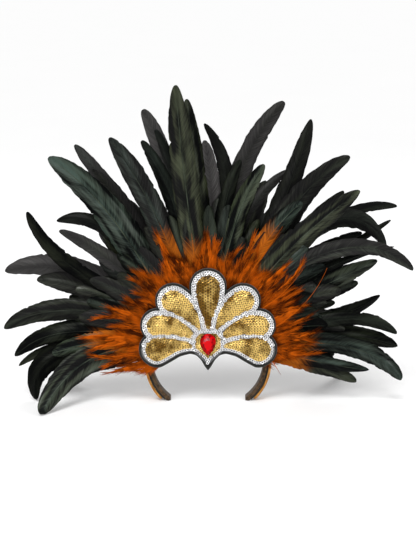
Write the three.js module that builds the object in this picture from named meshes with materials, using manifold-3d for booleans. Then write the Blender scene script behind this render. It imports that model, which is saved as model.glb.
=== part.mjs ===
// Feathered headdress: a curved headband that carries a sequined fan plaque,
// a pear stone, a short orange hackle row and four rows of long coque feathers.
// Millimetres. X to the wearer's left as seen from the front, Y to the back, Z up.
import * as THREE from 'three';
import { mergeVertices } from 'three/addons/utils/BufferGeometryUtils.js';
import Module from 'manifold-3d';

const wasm = await Module();
wasm.setup();

// Headband, seen from the front as an open loop
const bandHalfWidth = 71;
const bandCrownHeight = 55;
const bandLegHeight = 44;
const bandLegRadius = 60;
const bandDepth = 15;
const shellThick = 2.2;
const coreThick = 1.6;
const liningThick = 4.6;
const shellLift = 0.8;
const toeFlat = 0.7;
const toeSides = 14;
const crownFacets = 21;
const legFacets = 7;

// Fan plaque
const hubHeight = 69.3;
const plaqueReach = 87;
const boardThick = 3;
const padThick = 1.3;
const petalDome = 3;
const borderWide = 4.6;
const rimWide = 2.4;
const dividerWide = 4.8;
const petalNeck = 1.8;
const fieldHalfWidth = 14;
const fieldTop = 13;
const fieldPoint = 15.5;

// Pear stone
const stoneWide = 17;
const stoneTall = 25;
const stoneThick = 6;
const stoneSides = 12;

// Feathers
const fanReach = 290;
const vaneWide = 22;
const vaneThick = 1.4;
const vaneCup = 2.4;
const layerSpread = 0.03;
const tapeThick = 1.6;
const tapeInner = 30;
const tapeOuter = 46;
const quillStart = 40;
const hackleWide = 17;
const hackleLean = 0.12;
const hackleTapeOuter = 58;
const feltOuter = 66;
const tapeEnd = 12;
const gap = 0.3;
const bandClearance = 4;

// Worked-out places; the depths run from the plaque's front to the headband's back
const boardFront = -boardThick;
const padBack = boardFront - gap;
const padFront = padBack - padThick;
const hackleFront = gap;
const frontRow = hackleFront + tapeThick + gap;
const rowPitch = tapeThick + gap;
const bandFront = frontRow + 4 * rowPitch;
const legCentre = bandHalfWidth - bandLegRadius;
const toeRadius = (coreThick + gap + liningThick) / 2;
const toeInset = shellThick + gap + toeRadius;
const fanStart = Math.hypot(bandHalfWidth, hubHeight - bandLegHeight) + bandClearance;

const degrees = Math.PI / 180;
const direction = (angle) => [Math.cos(angle * degrees), Math.sin(angle * degrees)];
const smooth = (t) => {
  const k = Math.min(1, Math.max(0, t));
  return k * k * (3 - 2 * k);
};

// Named columns turn each short row of numbers into a plain object
const table = (columns, rows) => rows.map((row) => Object.fromEntries(columns.map((name, i) => [name, row[i]])));

// Petals: both ends as an angle about the stone and a share of the plaque's reach;
// full is the widest half width and arch the rise of the curved axis
const petals = table(['name', 'from', 'near', 'to', 'out', 'full', 'arch'], [
  ['petal_gold_1', 187, 0.22, 186, 0.660, 0.147, -0.05],
  ['petal_gold_2', 154, 0.20, 159, 0.685, 0.143, -0.05],
  ['petal_gold_3', 123, 0.22, 128, 0.718, 0.147, -0.04],
  ['petal_gold_4', 90, 0.20, 90, 0.750, 0.155, 0],
  ['petal_gold_5', 57, 0.22, 52, 0.718, 0.147, 0.04],
  ['petal_gold_6', 26, 0.20, 21, 0.685, 0.143, 0.05],
  ['petal_gold_7', -7, 0.22, -6, 0.660, 0.147, 0.05],
]);

// Silver lines between neighbouring petals
const dividers = table(['from', 'near', 'to', 'out', 'arch'], [
  [172, 0.18, 175.5, 0.87, -0.065],
  [129, 0.24, 146.5, 0.86, -0.05],
  [104, 0.21, 110.6, 0.83, -0.035],
  [76, 0.21, 69.4, 0.83, 0.035],
  [51, 0.24, 33.5, 0.86, 0.05],
  [8, 0.18, 4.5, 0.87, 0.065],
]);

// Feathers: root is the quill's place on the tape, leave and aim are the directions
// at the two ends, tip and reach place the tip, wide is a share of the vane's width
const featherColumns = ['root', 'leave', 'tip', 'reach', 'aim', 'wide'];

const frontFeathers = table(featherColumns, [
  [178, 176, 184, 0.60, 198, 0.9],
  [149, 118, 130, 0.93, 147, 1.15],
  [114, 108, 115, 0.87, 126, 0.95],
  [102, 96, 97, 0.99, 94, 0.9],
  [82, 74, 73, 0.72, 54, 0.72],
  [60, 62, 57, 0.65, 39, 0.9],
  [42, 60, 46, 0.82, 36, 1.1],
  [38, 54, 20, 0.83, -45, 0.66],
  [0, 0, -11, 0.76, -54, 0.8],
  [-2, -14, -10, 0.63, -6, 0.55],
]);

const middleFeathers = table(featherColumns, [
  [172, 178, 185, 0.75, 228, 0.8],
  [168, 160, 177, 0.79, 216, 0.95],
  [146, 152, 144, 0.85, 110, 0.6],
  [139, 140, 143, 0.71, 158, 0.6],
  [143, 120, 141, 0.74, 196, 0.66],
  [101, 104, 108, 0.81, 126, 0.66],
  [95, 92, 95, 0.93, 99, 0.8],
  [84, 80, 80, 0.71, 62, 0.6],
  [57, 58, 53, 0.89, 28, 1.0],
  [36, 34, 27, 0.80, 8, 0.35],
  [4, 12, 2, 0.73, -38, 0.6],
  [-4, -20, -16, 0.60, -28, 0.66],
]);

const rearFeathers = table(featherColumns, [
  [180, 178, 189, 0.75, 221, 0.45],
  [155, 152, 161, 0.70, 180, 1.0],
  [137, 122, 124, 0.79, 140, 0.72],
  [104, 100, 104, 0.83, 120, 0.55],
  [84, 76, 91, 0.83, 128, 0.6],
  [58, 60, 65, 0.93, 76, 0.85],
  [42, 66, 27, 0.77, -66, 0.85],
  [33, 40, 31, 0.73, 20, 0.25],
  [22, 32, 25, 0.72, 24, 1.0],
  [12, 12, 7, 0.67, 4, 0.35],
  [2, 6, -3, 0.74, -24, 0.8],
]);

const backFeathers = table(featherColumns, [
  [152, 146, 163, 0.83, 202, 1.05],
  [124, 116, 125, 0.90, 132, 0.72],
  [101, 102, 106, 0.91, 119, 0.83],
  [88, 86, 91, 0.76, 102, 0.8],
  [84, 82, 72, 0.95, 44, 0.85],
  [76, 72, 64, 0.72, 28, 0.5],
  [50, 52, 47, 0.77, 36, 0.5],
  [46, 50, 34, 0.89, -8, 0.5],
  [39, 42, 34, 0.72, 12, 0.55],
  [32, 36, 32, 0.84, 30, 0.35],
  [20, 22, 20, 0.62, 16, 0.7],
  [18, 10, 13, 0.69, 34, 0.6],
]);

// Droopers curve down to the floor: out and sweep are shares of the fan's reach,
// to the side and towards the back, and start is where they leave their row
const drooperColumns = ['root', 'leave', 'out', 'aim', 'wide', 'sweep', 'start'];
const frontDroopers = table(drooperColumns, [[182, 178, -0.625, 245, 1.2, -0.175, 0.4]]);
const middleDroopers = table(drooperColumns, [[184, 180, -0.667, 284, 1.0, -0.03, 0.4]]);
const backDroopers = table(drooperColumns, [
  [187, 184, -0.57, 236, 1.0, 0.175, 0.3],
  [-6, -4, 0.55, -56, 1.0, 0.25, 0.3],
]);

// Orange hackles: each tip's angle and reach
const hackles = table(['tip', 'reach'], [
  [197, 0.36], [185, 0.37], [173, 0.48], [162, 0.45], [151, 0.42], [140, 0.38], [128, 0.42],
  [115, 0.52], [103, 0.44], [89, 0.47], [77, 0.43], [63, 0.48], [50, 0.46],
  [37, 0.54], [25, 0.49], [13, 0.47], [2, 0.48], [-10, 0.39],
]);

// Rows of long feathers from front to back: lean is the rise towards the back
const featherRows = [
  { name: 'coque_front', lean: 0, feathers: frontFeathers, droopers: frontDroopers, fill: [30, 156, 42], fillReach: 0.5 },
  { name: 'coque_middle', lean: 0.09, feathers: middleFeathers, droopers: middleDroopers, fill: [10, 180, 34], fillReach: 0.56 },
  { name: 'coque_rear', lean: 0.18, feathers: rearFeathers, droopers: [], fill: [-6, 186, 32], fillReach: 0.54 },
  { name: 'coque_back', lean: 0.28, feathers: backFeathers, droopers: backDroopers, fill: [4, 178, 29], fillReach: 0.58 },
];

const finishes = {
  gold: { color: 0xb86a14, roughness: 0.22, metalness: 1 },
  black: { color: 0x1e1f1d, roughness: 0.9, metalness: 0 },
  brown: { color: 0x5c4126, roughness: 0.85, metalness: 0 },
  silver: { color: 0xe8e8ea, roughness: 0.3, metalness: 0.9 },
  sequin: { color: 0xc89a3c, roughness: 0.3, metalness: 0.9 },
  red: { color: 0xd40808, roughness: 0.05, metalness: 0 },
  orange: { color: 0xc2560c, roughness: 0.8, metalness: 0 },
  coque: { color: 0x1f2621, roughness: 0.5, metalness: 0 },
};

function toSolid(geometry) {
  geometry.deleteAttribute('normal');
  geometry.deleteAttribute('uv');
  const merged = mergeVertices(geometry, 1e-4);
  return new wasm.Manifold(new wasm.Mesh({
    numProp: 3,
    vertProperties: new Float32Array(merged.attributes.position.array),
    triVerts: new Uint32Array(merged.index.array),
  }));
}

function unite(solids) {
  return solids.reduce((sum, next) => sum.add(next));
}

// The main body of a trimmed piece, without the slivers that the trim leaves
function largest(solid) {
  return solid.decompose().reduce((best, next) => (next.volume() > best.volume() ? next : best));
}

function toMesh(name, solid, finish) {
  const data = solid.getMesh();
  const geometry = new THREE.BufferGeometry();
  geometry.setAttribute('position', new THREE.BufferAttribute(new Float32Array(data.vertProperties), 3));
  geometry.setIndex(new THREE.BufferAttribute(new Uint32Array(data.triVerts), 1));
  geometry.computeVertexNormals();
  const mesh = new THREE.Mesh(geometry, new THREE.MeshStandardMaterial(finishes[finish]));
  mesh.name = name;
  return mesh;
}

// A flat plate whose outline is drawn in X and Z, from one depth to another
function plate(outline, front, back) {
  const shape = new THREE.Shape(outline.map(([x, z]) => new THREE.Vector2(x, z)));
  const geometry = new THREE.ExtrudeGeometry(shape, { depth: back - front, bevelEnabled: false });
  geometry.rotateX(Math.PI / 2);
  geometry.translate(0, back, 0);
  return toSolid(geometry);
}

// A closed body through equal rings of points, with flat ends
function loft(rings) {
  const count = rings[0].length;
  const index = [];
  for (let i = 0; i + 1 < rings.length; i += 1) {
    for (let j = 0; j < count; j += 1) {
      const a = i * count + j;
      const b = i * count + ((j + 1) % count);
      index.push(a, b, b + count, a, b + count, a + count);
    }
  }
  const last = (rings.length - 1) * count;
  for (let j = 1; j + 1 < count; j += 1) {
    index.push(0, j + 1, j, last, last + j, last + j + 1);
  }
  const geometry = new THREE.BufferGeometry();
  geometry.setAttribute('position', new THREE.BufferAttribute(new Float32Array(rings.flat(2)), 3));
  geometry.setIndex(facesOut(index, rings.flat()));
  return toSolid(geometry);
}

// Triangles turned so that the body they close has a positive volume
function facesOut(index, points) {
  let volume = 0;
  for (let i = 0; i < index.length; i += 3) {
    const [a, b, c] = [0, 1, 2].map((k) => new THREE.Vector3(...points[index[i + k]]));
    volume += a.dot(b.cross(c));
  }
  return volume > 0 ? index : index.map((_, i) => index[i - (i % 3) + [0, 2, 1][i % 3]]);
}

// A point on the plaque or the fan, from the hub
function fromHub(angle, distance) {
  const [x, z] = direction(angle);
  return [x * distance, hubHeight + z * distance];
}

// How far round its leg the band has turned when it comes down to a height
const sweepTo = (height, inset) => Math.asin((bandLegHeight - height) / (bandLegRadius - inset)) / degrees;

function legPoint(inset, sweep) {
  const [x, z] = direction(-sweep);
  return [legCentre + x * (bandLegRadius - inset), bandLegHeight + z * (bandLegRadius - inset)];
}

// The headband's outer path shrunk by an inset, from the left tip over to the right
function bandPath(inset, sweep) {
  const rightLeg = Array.from({ length: legFacets + 1 }, (_, i) => legPoint(inset, sweep * (1 - i / legFacets)));
  const crown = Array.from({ length: crownFacets + 1 }, (_, i) => {
    const [x, z] = direction(180 - (180 * i) / crownFacets);
    return [x * (bandHalfWidth - inset), bandCrownHeight + z * (bandHalfWidth - inset)];
  });
  const leftLeg = rightLeg.map(([x, z]) => [-x, z]);
  return [...leftLeg, ...crown, ...rightLeg.reverse()];
}

function bandLayer(inset, thick, sweep) {
  const outer = bandPath(inset, sweep);
  const inner = bandPath(inset + thick, sweep).reverse();
  return plate([...outer, ...inner], bandFront, bandFront + bandDepth);
}

// The padded end of a leg: a rounded toe with a flat to stand on
function toe(side, sweep) {
  const [middleX, middleZ] = legPoint(toeInset, sweep);
  const outline = Array.from({ length: toeSides }, (_, i) => {
    const [x, z] = direction((360 * (i + 0.5)) / toeSides);
    return [side * (middleX + x * toeRadius), Math.max(0, middleZ + z * toeRadius)];
  });
  return plate(side > 0 ? outline : outline.reverse(), bandFront, bandFront + bandDepth);
}

function bandMeshes() {
  const toeSweep = sweepTo(toeRadius - toeFlat, toeInset);
  const coreInset = shellThick + gap;
  const liningInset = coreInset + coreThick + gap;
  const coreSweep = toeSweep - (toeRadius + gap) / (bandLegRadius - toeInset) / degrees;
  const lining = unite([bandLayer(liningInset, liningThick, toeSweep), toe(-1, toeSweep), toe(1, toeSweep)]);
  return [
    toMesh('band_shell', bandLayer(0, shellThick, sweepTo(shellLift, 0)), 'gold'),
    toMesh('band_core', bandLayer(coreInset, coreThick, coreSweep), 'black'),
    toMesh('band_lining', lining, 'brown'),
  ];
}

// A curved line between two polar places, raised sideways by its arch
function archedLine({ from, near, to, out, arch }) {
  const start = fromHub(from, near * plaqueReach);
  const end = fromHub(to, out * plaqueReach);
  const side = [start[1] - end[1], end[0] - start[0]];
  const length = Math.hypot(...side);
  return (t) => {
    const rise = (4 * arch * plaqueReach * t * (1 - t)) / length;
    const x = start[0] + (end[0] - start[0]) * t + side[0] * rise;
    const z = start[1] + (end[1] - start[1]) * t + side[1] * rise;
    return [x, z];
  };
}

// Stations along a petal: centre, sideways direction and half width, from the
// narrow neck to the round end
function petalStations(petal, grow, body = 5, round = 4) {
  const line = archedLine(petal);
  const full = petal.full * plaqueReach + grow;
  const neck = petalNeck + grow;
  const heading = (t) => {
    const [a, b] = [line(Math.max(0, t - 0.02)), line(Math.min(1, t + 0.02))];
    const length = Math.hypot(b[0] - a[0], b[1] - a[1]);
    return [(b[0] - a[0]) / length, (b[1] - a[1]) / length];
  };
  const station = (t, ahead, half) => {
    const [dx, dz] = heading(t);
    const [x, z] = line(t);
    return { x: x + dx * ahead, z: z + dz * ahead, dx, dz, half };
  };
  const stations = [station(0, -neck * 0.9, neck * 0.45)];
  for (let i = 0; i <= body; i += 1) {
    const t = i / body;
    stations.push(station(t, 0, neck + (full - neck) * Math.sin((t * Math.PI) / 2)));
  }
  for (let i = 1; i <= round; i += 1) {
    const turn = (i / (round + 0.4)) * 90;
    const [cosine, sine] = direction(turn);
    stations.push(station(1, full * sine, full * cosine));
  }
  return stations;
}

function petalPlate(petal, grow, front, back) {
  const stations = petalStations(petal, grow);
  const left = stations.map((s) => [s.x - s.dz * s.half, s.z + s.dx * s.half]);
  const right = stations.map((s) => [s.x + s.dz * s.half, s.z - s.dx * s.half]).reverse();
  return plate([...left, ...right], front, back);
}

// A petal's padded top: flat back, domed front
function petalPad(petal) {
  const full = petal.full * plaqueReach;
  const rings = petalStations(petal, 0).map((s) => {
    const across = (u, y) => [s.x - s.dz * s.half * u, y, s.z + s.dx * s.half * u];
    const rise = petalDome * Math.min(1, s.half / full);
    const front = [-1, -0.55, 0, 0.55, 1].map((u) => across(u, padFront - rise * (1 - u * u)));
    return [...front, across(1, padBack), across(-1, padBack)];
  });
  return loft(rings);
}

function dividerPlate(divider, half, front, back) {
  const line = archedLine(divider);
  const steps = 6;
  const edge = (side) => Array.from({ length: steps + 1 }, (_, i) => {
    const t = i / steps;
    const [a, b] = [line(t - 0.01), line(t + 0.01)];
    const length = Math.hypot(b[0] - a[0], b[1] - a[1]);
    const [x, z] = line(t);
    return [x - (side * half * (b[1] - a[1])) / length, z + (side * half * (b[0] - a[0])) / length];
  });
  return plate([...edge(1), ...edge(-1).reverse()], front, back);
}

// The shield-shaped field that the stone sits on
function fieldPlate(grow, front, back) {
  const side = fieldHalfWidth + grow;
  const shoulder = side * 0.62;
  const outline = [
    [-shoulder, fieldTop + grow], [-side, fieldTop * 0.55 + grow * 0.5], [-side, -fieldPoint * 0.25 - grow * 0.5],
    [-side * 0.42, -fieldPoint * 0.72 - grow], [0, -fieldPoint - grow * 1.75],
    [side * 0.42, -fieldPoint * 0.72 - grow], [side, -fieldPoint * 0.25 - grow * 0.5],
    [side, fieldTop * 0.55 + grow * 0.5], [shoulder, fieldTop + grow],
  ];
  return plate(outline.map(([x, z]) => [x, hubHeight + z]).reverse(), front, back);
}

function plaqueMeshes() {
  const deep = petalDome + padThick;
  const cutters = (half, front, back) => unite(dividers.map((d) => dividerPlate(d, half, front, back)));
  const whole = (grow, front, back) => unite(
    [...petals.map((p) => petalPlate(p, grow, front, back)), fieldPlate(grow, front, back)],
  );
  const lines = cutters(dividerWide / 2, padFront - deep, padBack + gap);
  const field = fieldPlate(0, padFront, padBack);
  const fieldRoom = fieldPlate(gap, padFront - deep, padBack + gap);
  const windows = unite(petals.map((p) => petalPlate(p, gap, padFront - gap, padBack + gap)))
    .subtract(cutters(dividerWide / 2 - gap, padFront - deep, padBack + gap));
  const silver = whole(borderWide, padFront, padBack).subtract(windows).subtract(fieldRoom);
  const collar = fieldPlate(dividerWide, padFront - deep, padBack + gap);
  const pads = petals.map((p) => toMesh(p.name, largest(petalPad(p).subtract(lines).subtract(collar)), 'sequin'));
  return [
    toMesh('plaque_board', whole(borderWide + rimWide, boardFront, 0), 'black'),
    toMesh('silver_border', silver, 'silver'),
    toMesh('gem_field', field, 'sequin'),
    ...pads,
  ];
}

// The pear stone: flat back, girdle, one break of facets and a table
function stone() {
  const pear = (share, turn, y) => Array.from({ length: stoneSides }, (_, i) => {
    const t = ((i + turn) / stoneSides) * 2 * Math.PI;
    const widest = 0.77;
    const x = (Math.sin(t) * Math.sin(t / 2) * stoneWide) / 2 / widest;
    return [x * share, y, hubHeight - (Math.cos(t) * stoneTall * share) / 2];
  });
  const back = padFront - gap;
  return loft([
    pear(0.9, 0, back),
    pear(1, 0, back - stoneThick * 0.25),
    pear(0.84, 0.5, back - stoneThick * 0.65),
    pear(0.5, 0, back - stoneThick),
  ]);
}

// A strip of tape round the hub that the quills are sewn into
function tape(inner, outer, front) {
  const steps = 14;
  const arc = (radius) => Array.from({ length: steps + 1 }, (_, i) => (
    fromHub(180 + tapeEnd - ((180 + 2 * tapeEnd) * i) / steps, radius)
  ));
  return plate([...arc(outer), ...arc(inner).reverse()], front, front + tapeThick);
}

// Where along its length a feather passes a radius and may start to lean
function passes(radiusAt, radius) {
  let [low, high] = [0, 0.9];
  for (let i = 0; i < 20; i += 1) {
    const middle = (low + high) / 2;
    if (radiusAt(middle) < radius) low = middle;
    else high = middle;
  }
  return low;
}

// One feather: a cubic centre line with a thin ridged vane, wider in the middle
function blade(shape, depthAt, stations, leanStart = fanStart) {
  const { root, leave, aim, tipPoint, width, neck } = shape;
  const start = fromHub(root, quillStart);
  const chord = Math.hypot(tipPoint[0] - start[0], tipPoint[1] - start[1]);
  const bend = Math.cos(((aim - leave) / 4) * degrees);
  const handle = chord / 3 / (bend * bend);
  const [leaveX, leaveZ] = direction(leave);
  const [aimX, aimZ] = direction(aim);
  const line = new THREE.CubicBezierCurve(
    new THREE.Vector2(...start),
    new THREE.Vector2(start[0] + leaveX * handle, start[1] + leaveZ * handle),
    new THREE.Vector2(tipPoint[0] - aimX * handle, tipPoint[1] - aimZ * handle),
    new THREE.Vector2(...tipPoint),
  );
  const radiusAt = (t) => Math.hypot(line.getPoint(t).x, line.getPoint(t).y - hubHeight);
  const clear = passes(radiusAt, leanStart);
  const steps = [0, ...Array.from({ length: stations - 1 }, (_, i) => clear + (1 - clear) * (i / (stations - 2)) ** 0.9)];
  const rings = steps.map((t) => {
    const point = line.getPoint(t);
    const along = line.getTangent(t);
    const radius = radiusAt(t);
    const swell = neck + (1 - neck) * smooth(t / 0.45);
    const tipped = t < 0.6 ? 1 : Math.sqrt(Math.max(0.01, 1 - ((t - 0.6) / 0.405) ** 2));
    const half = (width / 2) * swell * tipped;
    const y = depthAt(radius);
    const cup = vaneCup * (half / vaneWide) * 2 * smooth((radius - fanStart) / fanStart);
    return [
      [point.x + along.y * half, y + cup, point.y - along.x * half],
      [point.x, y - vaneThick / 2, point.y],
      [point.x - along.y * half, y + cup, point.y + along.x * half],
      [point.x, y + vaneThick / 2, point.y],
    ];
  });
  return loft(rings);
}

function featherRow(row, rowIndex) {
  const front = frontRow + rowIndex * rowPitch;
  const middle = front + tapeThick / 2;
  const leaning = (extra) => (radius) => middle + (row.lean + extra) * Math.max(0, radius - fanStart);
  const [first, last, step] = row.fill;
  const fillers = Array.from({ length: Math.floor((last - first) / step) + 1 }, (_, i) => {
    const angle = first + step * i;
    return { root: angle, leave: angle, tip: angle, reach: row.fillReach, aim: angle, wide: 1 };
  });
  const placed = (f) => ({ ...f, tipPoint: fromHub(f.tip, f.reach * fanReach), width: f.wide * vaneWide, neck: 0.35 });
  const long = row.feathers.map((f, i) => blade(placed(f), leaning(i % 2 ? layerSpread : 0), 8));
  const short = fillers.map((f) => blade(placed(f), leaning(layerSpread / 2), 6));
  const drooping = row.droopers.map((d) => {
    const tipPoint = [d.out * fanReach, vaneThick];
    const tipRadius = Math.hypot(tipPoint[0], tipPoint[1] - hubHeight);
    const begin = d.start * fanReach;
    const depthAt = (radius) => leaning(0)(radius)
      + d.sweep * fanReach * smooth((radius - begin) / (tipRadius - begin) / 2) * 2;
    return blade({ ...d, tipPoint, width: d.wide * vaneWide, neck: 0.35 }, depthAt, 9);
  });
  const outer = rowIndex === featherRows.length - 1 ? feltOuter : tapeOuter;
  return toMesh(row.name, unite([tape(tapeInner, outer, front), ...long, ...short, ...drooping]), 'coque');
}

function hackleRow() {
  const middle = hackleFront + tapeThick / 2;
  const leanStart = plaqueReach + bandClearance;
  const depthAt = (radius) => middle - hackleLean * Math.max(0, radius - leanStart);
  const blades = hackles.map((h) => blade({
    root: h.tip, leave: h.tip, aim: h.tip, tipPoint: fromHub(h.tip, h.reach * fanReach), width: hackleWide, neck: 0.6,
  }, depthAt, 5, leanStart));
  return toMesh('hackle_orange', unite([tape(tapeInner, hackleTapeOuter, hackleFront), ...blades]), 'orange');
}

const pieces = [
  ...bandMeshes(),
  ...plaqueMeshes(),
  toMesh('gem', stone(), 'red'),
  hackleRow(),
  ...featherRows.map(featherRow),
];

// The origin is under the middle of the whole headdress, on the surface it stands on
const headdress = new THREE.Group();
headdress.add(...pieces);
const box = new THREE.Box3().setFromObject(headdress);
const centre = box.getCenter(new THREE.Vector3());
headdress.position.set(-centre.x, -centre.y, -box.min.z);

export default headdress;
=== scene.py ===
import math
import random

import bpy
import numpy as np
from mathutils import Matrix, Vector


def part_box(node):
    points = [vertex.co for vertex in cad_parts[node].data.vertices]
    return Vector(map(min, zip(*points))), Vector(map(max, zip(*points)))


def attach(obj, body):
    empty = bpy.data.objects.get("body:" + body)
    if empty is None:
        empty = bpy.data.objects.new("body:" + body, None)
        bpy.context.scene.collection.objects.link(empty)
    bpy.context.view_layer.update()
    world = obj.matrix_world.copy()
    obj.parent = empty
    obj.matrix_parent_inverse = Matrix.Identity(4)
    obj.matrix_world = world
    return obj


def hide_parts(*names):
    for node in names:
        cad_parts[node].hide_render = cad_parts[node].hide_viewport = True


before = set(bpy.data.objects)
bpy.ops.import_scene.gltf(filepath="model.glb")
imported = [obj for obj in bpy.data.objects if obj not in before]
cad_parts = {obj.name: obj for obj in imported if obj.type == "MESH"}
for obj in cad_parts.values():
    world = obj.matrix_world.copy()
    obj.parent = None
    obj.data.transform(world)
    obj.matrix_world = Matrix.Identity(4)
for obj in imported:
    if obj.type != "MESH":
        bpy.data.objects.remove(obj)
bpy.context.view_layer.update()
mm = 0.001

# Everything is worked out in millimetres about the stone's middle, then placed in the frame
gemBox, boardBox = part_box("gem"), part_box("plaque_board")
middleX = (gemBox[0].x + gemBox[1].x) / 2
boardBack = boardBox[1].y
hubHeight = (gemBox[0].z + gemBox[1].z) / 2 / mm
plaqueReach = 87.0  # petals and dividers are shares of it
fanReach = 290.0  # to the tip of the longest feather
fanStart = 79.1  # where the rows of feathers begin to lean
degree = 1 / 57.3  # in radians


def smooth(t):
    k = np.clip(t, 0.0, 1.0)
    return k * k * (3 - 2 * k)


def fromHub(angle, distance):
    a = math.radians(angle)
    return np.array([math.cos(a) * distance, hubHeight + math.sin(a) * distance])


def placed(points):
    return np.asarray(points, float) * mm + np.array([middleX, boardBack, 0.0])


def gridFaces(rows, columns, closed=False):
    across = columns if closed else columns - 1
    i, j = np.meshgrid(np.arange(rows - 1), np.arange(across), indexing="ij")
    k = (j + 1) % columns
    quads = np.stack([i * columns + j, i * columns + k, (i + 1) * columns + k, (i + 1) * columns + j], -1)
    return quads.reshape(-1, 4)


def tubeFaces(rows, columns):
    last = (rows - 1) * columns
    caps = [list(range(columns))[::-1], list(range(last, last + columns))]
    return gridFaces(rows, columns, closed=True).tolist() + caps


def fillGrid(low, high, step):
    x, z = np.arange(low[0], high[0], step), np.arange(low[1], high[1], step)
    return np.stack(np.meshgrid(x, z), -1).reshape(-1, 2)


def hubRadius(points):
    return np.hypot(points[..., 0], points[..., 1] - hubHeight)


def leftOf(way):
    return np.stack([-way[..., 1], way[..., 0]], -1)


def inside(points, outline):
    x, z = points[:, 0][:, None], points[:, 1][:, None]
    a, b = outline, np.roll(outline, -1, 0)
    crosses = (a[:, 1] > z) != (b[:, 1] > z)
    rise = np.where(np.abs(b[:, 1] - a[:, 1]) < 1e-9, 1e-9, b[:, 1] - a[:, 1])
    return (crosses & (x < a[:, 0] + (b[:, 0] - a[:, 0]) * (z - a[:, 1]) / rise)).sum(1) % 2 == 1


def nearest(points, line):
    return np.sqrt(((points[:, None, :] - line[None, :, :]) ** 2).sum(-1)).min(1)


def evenly(line, pitch, closed=False):
    path = np.vstack([line, line[:1]]) if closed else line
    steps = np.hypot(*np.diff(path, axis=0).T)
    run = np.concatenate([[0.0], np.cumsum(steps)])
    count = max(2, int(round(run[-1] / pitch)))
    at = np.linspace(0, run[-1], count, endpoint=not closed)
    return np.stack([np.interp(at, run, path[:, 0]), np.interp(at, run, path[:, 1])], -1)


class Pile:  # many small shapes gathered into one mesh
    def __init__(self):
        self.points, self.faces, self.barb, self.plume, self.count = [], [], [], [], 0

    def add(self, points, faces, barb=None, plume=None):
        n = len(points)
        self.points.append(np.asarray(points, float))
        plain = faces.tolist() if hasattr(faces, "tolist") else faces
        self.faces += [[k + self.count for k in face] for face in plain]
        self.barb.append(np.zeros((n, 3)) if barb is None else np.broadcast_to(barb, (n, 3)))
        self.plume.append(np.ones((n, 4)) if plume is None else np.broadcast_to(plume, (n, 4)))
        self.count += n

    def scatter(self, shape, faces, centres, turns, plumes, hole):
        n, m = len(centres), len(shape)
        points = np.einsum("nij,mj->nmi", turns, shape) + centres[:, None, :]
        for quad in faces:
            base = (np.arange(n) * m)[:, None] + np.array(quad)[None, :] + self.count
            self.faces += base.tolist()
        self.points.append(points.reshape(-1, 3))
        self.barb.append(np.repeat(centres, m, 0))
        plumes = np.repeat(plumes, m, 0)
        plumes[:, 1] = np.tile(hole, n)
        self.plume.append(plumes)
        self.count += n * m

    def piece(self, name, finish, slotName, stands=(), sheet=0.0, soft=True):
        mesh = bpy.data.meshes.new(name)
        mesh.from_pydata(placed(np.vstack(self.points)).tolist(), [], self.faces)
        barb = mesh.attributes.new("barb", "FLOAT_VECTOR", "POINT")
        barb.data.foreach_set("vector", np.vstack(self.barb).astype(np.float32).ravel())
        plume = mesh.attributes.new("plume", "FLOAT_COLOR", "POINT")
        plume.data.foreach_set("color", np.vstack(self.plume).astype(np.float32).ravel())
        mesh.polygons.foreach_set("use_smooth", [soft] * len(mesh.polygons))
        mesh.materials.append(finish)
        mesh.update()
        piece = bpy.data.objects.new(name, mesh)
        bpy.context.scene.collection.objects.link(piece)
        if sheet:
            thickness = piece.modifiers.new("thickness", "SOLIDIFY")
            thickness.thickness = sheet * mm
            thickness.offset = 0.0
        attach(piece, "root")
        if stands:
            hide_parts(*stands)
        print("made", name, len(mesh.polygons), "faces")
        return piece


# Shader maths as Python expressions
class Value:
    def __init__(self, paint, socket):
        self.paint, self.socket = paint, socket

    def maths(self, operation, a, b):
        return self.paint.node("Math", {"operation": operation}, {0: a, 1: b})

    def __add__(self, other):
        return self.maths("ADD", self, other)

    def __radd__(self, other):
        return self.maths("ADD", other, self)

    def __sub__(self, other):
        return self.maths("SUBTRACT", self, other)

    def __rsub__(self, other):
        return self.maths("SUBTRACT", other, self)

    def __mul__(self, other):
        return self.maths("MULTIPLY", self, other)

    def __rmul__(self, other):
        return self.maths("MULTIPLY", other, self)

    def clamped(self):
        return self.paint.node("Clamp", {}, {"Value": self})


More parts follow.
